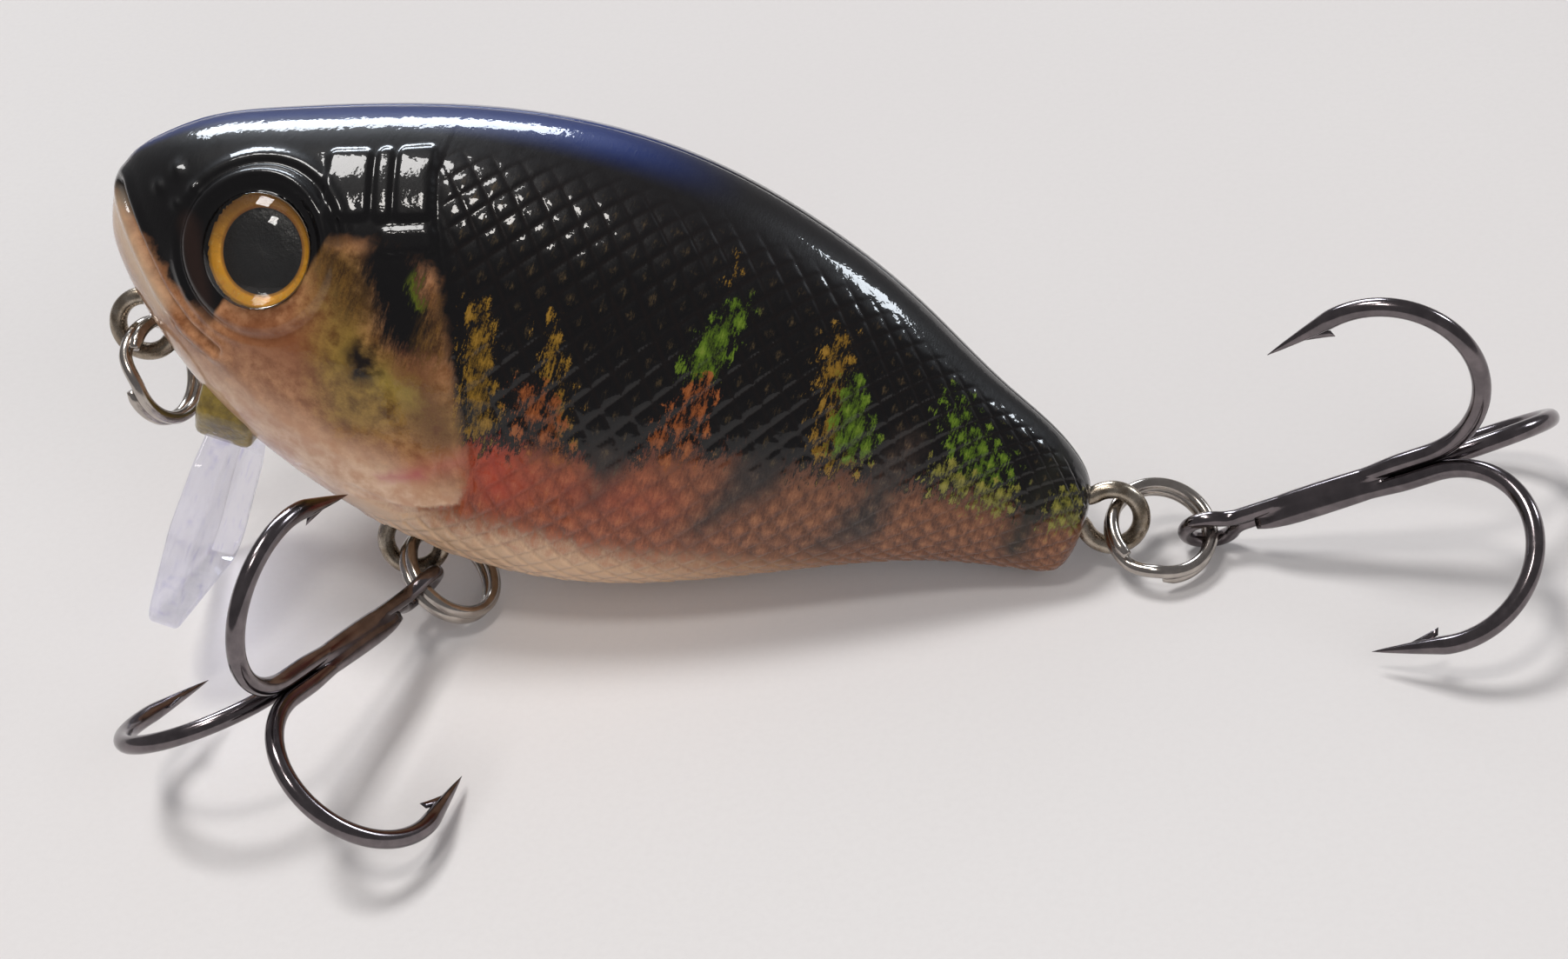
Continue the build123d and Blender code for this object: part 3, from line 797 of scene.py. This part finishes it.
# Braze: distance down the shank, radius in the valleys, radius round each shank
BRAZE_ROWS = [(2.3, 0.2, 0.12), (2.6, 0.3, 0.2), (2.95, 0.4, 0.27), (3.35, 0.5, 0.315), (3.8, 0.57, 0.345),
              (4.4, 0.61, 0.36), (5.4, 0.62, 0.365), (6.4, 0.61, 0.36), (7.2, 0.58, 0.355),
              (7.8, 0.52, 0.35), (8.3, 0.42, 0.34), (8.8, 0.3, 0.32)]
BRAZE_SIDES = 48
STRAIGHT_POINTS = 34


def hook_frame(ring, place, dip, roll):
    """Origin and x, y, z of a treble on a ring; z runs down the shank."""
    centre, x, y, z = ring
    g, b, r = radians(place), radians(dip), radians(roll)
    outward = x * cos(g) + y * sin(g)
    around = y * cos(g) - x * sin(g)
    shank = outward * cos(b) + z * sin(b)
    single = around * cos(r) + np.cross(shank, around) * sin(r)
    return centre + outward * RING_RADIUS, single, np.cross(shank, single), shank


def tine_course(start, azimuth):
    """Points from the shank's start to the hook's tip, and the wire radius at each."""
    down = np.linspace(start, BEND_START, STRAIGHT_POINTS)
    gather = smooth(BRAZE_TO + 1.6, BRAZE_TO - 0.6, down)
    straight = np.stack([down, SHANK_OFFSET - SQUEEZE * gather], 1)[:-1]
    bend = arc((BEND_START, SHANK_OFFSET + BEND_RADIUS), BEND_RADIUS, -90, BEND_ANGLE, 60)
    heading = np.array([-sin(radians(BEND_ANGLE)), cos(radians(BEND_ANGLE))])
    point = bend[-1] + heading * np.linspace(0, POINT_RUN, 26)[1:, None]
    flat = np.concatenate([straight, bend, point])
    to_tip = np.linalg.norm(flat[::-1][:-1] - flat[::-1][1:], axis=1).cumsum()
    to_tip = np.concatenate([[0], to_tip])[::-1]
    radius = HOOK_WIRE * np.clip(to_tip / 3.3, 0, 1) ** 0.8
    radius = np.maximum(radius, 0.015)
    shank = STRAIGHT_POINTS - 1
    radius[:shank] = HOOK_WIRE - THINNED * gather[:shank]
    out = np.array([cos(azimuth), sin(azimuth)])
    points = np.stack([flat[:, 1] * out[0], flat[:, 1] * out[1], flat[:, 0]], 1)
    return points, radius


def barb(azimuth):
    """A sliver raised on the inner side of the point."""
    angle = radians(BEND_ANGLE)
    end = np.array([BEND_START + BEND_RADIUS * cos(angle),
                    SHANK_OFFSET + BEND_RADIUS * (1 + sin(angle))])
    heading = np.array([-sin(angle), cos(angle)])
    inward = np.array([-cos(angle), -sin(angle)])
    tip = end + heading * POINT_RUN

    def spot(back, rise, across):
        flat = tip - heading * back + inward * rise
        out = np.array([cos(azimuth), sin(azimuth)])
        sideways = np.array([-sin(azimuth), cos(azimuth)])
        xy = out * flat[1] + sideways * across
        return (xy[0], xy[1], flat[0])

    verts = []
    for back, rise, thick in BARB_ROWS:
        foot = min(rise - 0.02, max(0.0, rise - 0.32)) if back > 1.4 else 0.0
        verts += [spot(back, foot, -thick), spot(back, rise, -thick * 0.55), spot(back, rise + 0.03, 0),
                  spot(back, rise, thick * 0.55), spot(back, foot, thick)]
    n = len(verts) // len(BARB_ROWS)
    ends = [tuple(range(n))[::-1], tuple(range(len(verts) - n, len(verts)))]
    return np.array(verts), hoop_faces(len(BARB_ROWS), n) + ends


def solder():
    """Plated braze round the three shanks: three lobes with shallow valleys."""
    angle = np.linspace(0, 2 * pi, BRAZE_SIDES, endpoint=False)
    gap = (angle + pi / 3) % (2 * pi / 3) - pi / 3
    off = SHANK_OFFSET - SQUEEZE
    rings = []
    for z, valley, r in BRAZE_ROWS:
        reach = off * np.cos(gap) + np.sqrt(np.maximum(r * r - (off * np.sin(gap)) ** 2, 0))
        radius = (reach**6 + valley**6) ** (1 / 6) * 0.97
        rings.append(np.stack([radius * np.cos(angle), radius * np.sin(angle), np.full(BRAZE_SIDES, z)], 1))
    ends = [[(0, 0, BRAZE_ROWS[0][0])], [(0, 0, BRAZE_ROWS[-1][0])]]
    return np.concatenate(rings + ends), capped_faces(len(BRAZE_ROWS), BRAZE_SIDES)


def treble(name, ring, pose):
    """A treble on a ring: one wire for the eye and two hooks, a third hook, and the braze."""
    origin, x, y, z = hook_frame(ring, *pose)
    axes = np.array([x, y, z])

    def put(label, node, verts, faces):
        piece = add_mesh(f"{name}_{label}", origin + verts @ axes, faces, nickel, name)
        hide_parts(f"{name}_{node}")

    side = (SHANK_OFFSET - SQUEEZE) * sin(radians(120))
    back = (SHANK_OFFSET - SQUEEZE) * cos(radians(120))
    flat = eye_course(HOOK_EYE, EYE_BLEND, side, SINGLE_FROM)
    eye = np.stack([np.full(len(flat), back), flat[:, 1], flat[:, 0]], 1)
    first, thin = tine_course(SINGLE_FROM, radians(240))
    last, _ = tine_course(SINGLE_FROM, radians(120))
    wire = np.concatenate([first[::-1][:-1], eye, last[1:]])
    eye_wire = np.full(len(eye), HOOK_WIRE - THINNED)
    radii = np.concatenate([thin[::-1][:-1], eye_wire, thin[1:]])
    put("double", "double_hook", *merge(tube(wire, radii, 20), barb(radians(120)), barb(radians(240))))
    third, thin = tine_course(SINGLE_FROM + 0.1, 0.0)
    start = np.minimum(1, 0.25 + 0.75 * np.arange(len(third)) / 8)
    put("single", "single_hook", *merge(tube(third, thin * start, 20), barb(0.0)))
    put("solder", "braze", *solder())


treble("belly_treble", belly_ring, (102, -4, 187))
treble("tail_treble", tail_ring, (-13, -43, 4.5))


# ---- Eyes
def lathe(profile, count=72):
    """A closed turned shape: (radius, height) points from the axis out and back to the axis."""
    angle = np.linspace(0, 2 * pi, count, endpoint=False)
    rows = [np.stack([r * np.cos(angle), r * np.sin(angle), np.full(count, z)], 1) for r, z in profile]
    return np.concatenate(rows), hoop_faces(len(profile), count)


def foil_finish():
    """Gold printed foil with a black pupil, darker above from painted shade, with painted glints and a
    painted glow.
    """
    f = Finish("gold_foil")
    x, y, _ = f.split(f.attribute("dial"))
    r = (x * x + y * y).root()
    grain = f.noise(f.join(x, y, 0.0), 5.0, 4.0, 0.65)
    spokes = f.noise(f.join(x / r.high(0.2), y / r.high(0.2), r * 0.25), 7.0, 3.0)
    # painted shade and light through the lens: the gold runs from dark above to bright below
    low = (y * -1.0 + x * 0.25).step(-2.2, 1.8)
    gold = f.mix(low, srgb(140, 96, 38), srgb(250, 176, 30))
    gold = f.mix(spokes.step(-0.1, 0.6) * 0.4, gold, srgb(120, 72, 20))
    # painted glints: bright flecks only on the lit lower part of the gold
    gold = f.mix(grain.step(0.1, 0.5) * low * 0.8, gold, srgb(255, 214, 110))
    gold = f.mix((r + grain * 0.04).step(2.3, 2.42) * 0.6, gold, srgb(110, 70, 24))
    gold = f.mix((r + grain * 0.03).step(2.43, 2.48), gold, srgb(200, 160, 80))
    gold = f.mix((r + grain * 0.02).step(2.04, 1.9) * 0.7, gold, srgb(104, 56, 12))
    face = f.mix(r.step(1.88, 1.84), gold, srgb(4, 4, 5))
    metal = r.step(1.84, 1.9, 0.0, 0.1)
    bump = f.bump(spokes * 0.6 + grain, 0.35, 0.00006)
    shader = f.shader(face, bump, grain.step(-1, 1, 0.22, 0.42))
    f.tree.links.new(metal.socket, shader.inputs["Metallic"])
    # painted glow: the foil gives off a little light in its own colour, standing in for glints
    f.tree.links.new(face, shader.inputs["Emission Color"])
    shader.inputs["Emission Strength"].default_value = 0.3
    return f.material


def clear(name, tint, ior):
    """Clear resin: what lies behind shows through, and the surface mirrors the room."""
    f = Finish(name)
    waves = f.noise(f.place(), 1.3, 2.0)
    bump = f.bump(waves, 0.05, 0.0001)
    through = f.node("ShaderNodeBsdfTransparent")
    tone = f.mix(waves.step(-1, 1), tint, tuple(min(1.0, c * 1.04) for c in tint[:3]) + (1.0,))
    f.tree.links.new(tone, through.inputs["Color"])
    gloss = f.node("ShaderNodeBsdfGlossy")
    gloss.inputs["Roughness"].default_value = 0.03
    f.tree.links.new(bump, gloss.inputs["Normal"])
    fresnel = f.node("ShaderNodeFresnel")
    fresnel.inputs["IOR"].default_value = ior
    return f.blend(fresnel.outputs[0], through, gloss)


foil = foil_finish()
resin = clear("eye_resin", (0.99, 0.985, 0.96, 1.0), 1.45)
# Turned profiles, (radius, height): the foil disc, and the lens's rim and underside
DISC = [(0.0, -0.66), (0.9, -0.66), (1.7, -0.68), (1.78, -0.72), (2.0, -0.7), (2.25, -0.62), (2.4, -0.5),
        (2.49, -0.42), (2.49, -0.9), (1.2, -0.9), (0.0, -0.9)]
LENS_RISE = 0.75
LENS_UNDER = [(2.49, -0.02), (2.5, -0.2), (2.5, -0.38), (2.3, -0.4), (2.0, -0.52), (1.0, -0.58),
              (0.0, -0.6)]


def eye(side_name, side):
    """An iris disc under a domed lens; side is 1 left, -1 right."""
    at = np.array(EYE_AT) * (1, 1, side)
    z = EYE_FACING * (1, 1, side)
    x = np.array([1, 0, 0.2766 * side])
    x = x / np.linalg.norm(x)
    y = np.cross(z, x) * side
    axes = np.array([x, y, z])
    verts, faces = lathe(DISC)
    piece = add_mesh(f"{side_name}_iris", at + verts @ axes, faces, foil, "lure", {"dial": verts})
    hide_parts(f"{side_name}_eye_foil")
    ball = (EYE_RADIUS**2 + LENS_RISE**2) / (2 * LENS_RISE)
    cap = [(r, LENS_RISE - ball + sqrt(ball**2 - r**2)) for r in np.linspace(0, 2.44, 18)]
    verts, faces = lathe(cap + LENS_UNDER)
    piece = add_mesh(f"{side_name}_lens", at + verts @ axes, faces, resin, "lure")
    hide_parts(f"{side_name}_eye_dome")


eye("left", 1)
eye("right", -1)


# ---- Diving lip and the chin it is set in
LIP_ROOT, LIP_THICK, LIP_BEVEL = (7.55, -6.7), 1.3, 0.16
CHIN_THICK, CHIN_BEVEL = 2.7, 0.4
# Outlines, (across, up) from the lip's root, and each corner's radius
LIP_OUTLINE = [(2.6, 2.5), (2.6, -0.5), (3.9, -1.6), (5.5, -4.3), (5.5, -9.5),
               (-5.5, -9.5), (-5.5, -4.3), (-3.9, -1.6), (-2.6, -0.5), (-2.6, 2.5)]
LIP_CORNERS = [0, 0.5, 1.8, 2.0, 1.5, 1.5, 2.0, 1.8, 0.5, 0]
CHIN_OUTLINE = [(2.9, 3.1), (3.1, 0.2), (2.2, -1.1), (-2.2, -1.1), (-3.1, 0.2), (-2.9, 3.1)]
CHIN_CORNERS = [0.3, 0.8, 0.7, 0.7, 0.8, 0.3]


def rounded(points, radii, steps=8):
    """A closed outline with each corner rounded."""
    result = []
    n = len(points)
    for k, (point, radius) in enumerate(zip(points, radii)):
        p = np.array(point, float)
        before, after = np.array(points[k - 1], float), np.array(points[(k + 1) % n], float)
        if radius <= 0:
            result.append(tuple(p))
            continue
        a, b = (before - p) / np.linalg.norm(before - p), (after - p) / np.linalg.norm(after - p)
        half = np.arccos(np.clip(a @ b, -1, 1)) / 2
        run_in = radius / np.tan(half)
        centre = p + (a + b) / np.linalg.norm(a + b) * radius / np.sin(half)
        start, end = p + a * run_in - centre, p + b * run_in - centre
        sweep = np.arccos(np.clip(start @ end / radius**2, -1, 1))
        for t in np.linspace(0, 1, steps):
            way = start * np.sin((1 - t) * sweep) + end * np.sin(t * sweep)
            result.append(tuple(centre + way / np.sin(sweep)))
    return result


def slab(outline, corners, thick, bevel):
    """A flat plate with rounded edges across the lure, at the lip's root."""
    bm = bmesh.new()
    ring = [bm.verts.new((-thick / 2, v, w)) for w, v in rounded(outline, corners)]
    face = bm.faces.new(ring)
    grown = bmesh.ops.extrude_face_region(bm, geom=[face])
    for item in grown["geom"]:
        if isinstance(item, bmesh.types.BMVert):
            item.co.x += thick
    bmesh.ops.recalc_face_normals(bm, faces=bm.faces)
    edges = [e for e in bm.edges if abs(e.calc_face_angle(0)) > 1.2]
    bmesh.ops.bevel(bm, geom=edges, offset=bevel, segments=3, affect="EDGES", profile=0.5)
    bm.verts.index_update()
    verts = np.array([v.co for v in bm.verts]) + (*LIP_ROOT, 0.0)
    faces = [tuple(v.index for v in f.verts) for f in bm.faces]
    bm.free()
    return verts, faces


def lip_finish():
    """Clear moulded plastic, a little cloudy and scuffed."""
    f = Finish("clear_polycarbonate")
    where = f.place()
    haze = f.noise(where, 0.35, 3.0)
    cloud = f.noise(where, 1.1, 3.0)
    scuff = f.noise(where, 9.0, 5.0, 0.7)
    through = f.node("ShaderNodeBsdfTransparent")
    tone = f.mix(cloud.step(0.1, 0.5) * 0.8, (0.93, 0.93, 0.98, 1.0), (0.62, 0.6, 0.84, 1.0))
    f.tree.links.new(tone, through.inputs["Color"])
    bump = f.bump(scuff * 0.3 + cloud, 0.05, 0.0001)
    glass = f.node("ShaderNodeBsdfPrincipled")
    glass.inputs["Transmission Weight"].default_value = 1.0
    glass.inputs["IOR"].default_value = 1.5
    f.tree.links.new(tone, glass.inputs["Base Color"])
    rough = scuff.step(0.2, 0.7, 0.02, 0.12)
    f.tree.links.new(rough.socket, glass.inputs["Roughness"])
    f.tree.links.new(bump, glass.inputs["Normal"])
    share = haze.step(-0.6, 0.6, 0.3, 0.5)
    return f.blend(share.socket, through, glass)


verts, faces = slab(LIP_OUTLINE, LIP_CORNERS, LIP_THICK, LIP_BEVEL)
lip = add_mesh("clear_lip", verts, faces, lip_finish(), "lure")
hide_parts("diving_lip")


def chin_finish():
    f = Finish("chin_paint")
    where = f.place()
    mottled = f.noise(where, 1.4, 4.0)
    fine = f.noise(where, 6.0, 4.0)
    tone = f.mix(mottled.step(-0.4, 0.4), srgb(96, 78, 26), srgb(150, 128, 52))
    tone = f.mix(fine.step(0.1, 0.5) * 0.5, tone, srgb(70, 54, 18))
    bump = f.bump(fine + mottled, 0.3, 0.00012)
    f.shader(tone, bump, mottled.step(-1, 1, 0.25, 0.4), Coat_Weight=1.0, Coat_Roughness=0.06)
    return f.material


verts, faces = slab(CHIN_OUTLINE, CHIN_CORNERS, CHIN_THICK, CHIN_BEVEL)
add_mesh("chin_socket", verts, faces, chin_finish(), "lure")


# ---- Ballast, carried over
def lead_finish():
    f = Finish("dull_lead")
    where = f.place()
    mottled = f.noise(where, 0.9, 4.0)
    tone = f.mix(mottled.step(-0.5, 0.5), srgb(84, 84, 90), srgb(134, 134, 138))
    f.shader(tone, f.bump(mottled, 0.4, 0.0001), mottled.step(-1, 1, 0.45, 0.65), Metallic=1.0)
    return f.material


lead = lead_finish()
for node in ("front_ballast", "rear_ballast"):
    slots = frame["nodes"][node].data.materials
    slots.clear()
    slots.append(lead)


# ---- Floor, light and camera
def floor_finish():
    f = Finish("pale_card")
    where = f.place()
    broad = f.noise(where, 0.012, 2.0)
    fibre = f.noise(where, 3.0, 4.0, 0.6)
    tone = f.mix(broad.step(-0.5, 0.5), srgb(231, 229, 229), srgb(236, 235, 235))
    tone = f.mix(fibre.step(-0.4, 0.6) * 0.25, tone, srgb(226, 224, 224))
    f.shader(tone, f.bump(fibre, 0.08, 0.00003), 0.7, Specular_IOR_Level=0.1)
    return f.material


bpy.ops.mesh.primitive_plane_add(size=3.0)
floor = bpy.context.object
floor.name = "floor"
floor.data.materials.append(floor_finish())

# The camera looks square at the left flank from 20 degrees above it, turned a little about its axis
CAMERA_TARGET = (31.9, -1.93, 0.0)
CAMERA_RISE, CAMERA_TURN = radians(20), radians(18.2)
CAMERA_DISTANCE = 130.0
VIEW_WIDTH = 69.9
SENSOR = 36.0
back = np.array([0.0, sin(CAMERA_RISE), cos(CAMERA_RISE)])
side = np.array([1.0, 0, 0])
right = side * cos(CAMERA_TURN) + np.cross(back, side) * sin(CAMERA_TURN)
up = np.cross(back, right)
right_row, up_row, back_row = (d @ AXES for d in (right, up, back))
target_row = to_row([CAMERA_TARGET])[0]


def stand(a, b, c):
    """A place in metres from the target: along the picture's right, its up and towards the camera."""
    return Vector(target_row + right_row * a + up_row * b + back_row * c)


camera = bpy.data.objects.new("camera", bpy.data.cameras.new("camera"))
bpy.context.scene.collection.objects.link(camera)
turn = Matrix((Vector(right_row), Vector(up_row), Vector(back_row))).transposed()
camera.matrix_world = Matrix.Translation(stand(0, 0, CAMERA_DISTANCE * MM)) @ turn.to_4x4()
camera.data.sensor_width = SENSOR
camera.data.lens = SENSOR * CAMERA_DISTANCE / VIEW_WIDTH
camera.data.clip_start = 0.005
camera.data.clip_end = 10.0
bpy.context.scene.camera = camera


def area(name, place, size, power, colour, height=None):
    """A rectangular light that faces the target."""
    light = bpy.data.lights.new(name, "AREA")
    light.shape = "RECTANGLE"
    light.size, light.size_y = size, height or size
    light.energy = power
    light.color = colour
    lamp = bpy.data.objects.new(name, light)
    bpy.context.scene.collection.objects.link(lamp)
    lamp.location = place
    lamp.rotation_euler = (stand(0, 0, 0) - place).to_track_quat("-Z", "Y").to_euler()
    return lamp


area("key", stand(-0.3, 0.62, 0.36), 0.2, 2.8, (1.0, 0.98, 0.965))
area("lamp", stand(-0.12, 0.22, 0.34), 0.06, 0.3, (1.0, 0.96, 0.92))
window = area("window", stand(-0.2, 0.75, -0.22), 0.5, 6.0, (0.84, 0.91, 1.0), 0.2)
window.visible_diffuse = False
door = area("door", stand(0.55, 0.55, 0.05), 0.14, 1.6, (0.86, 0.93, 1.0))
door.visible_diffuse = False
fill = area("fill", stand(0.3, -0.1, 0.6), 0.6, 2.1, (1.0, 0.975, 0.97))
fill.visible_glossy = False
world = bpy.data.worlds.new("room")
world.use_nodes = True
background = world.node_tree.nodes["Background"]
background.inputs["Color"].default_value = (0.95, 0.93, 0.96, 1.0)
background.inputs["Strength"].default_value = 0.21
bpy.context.scene.world = world
bpy.context.scene.view_settings.view_transform = "Standard"
bpy.context.scene.view_settings.look = "None"
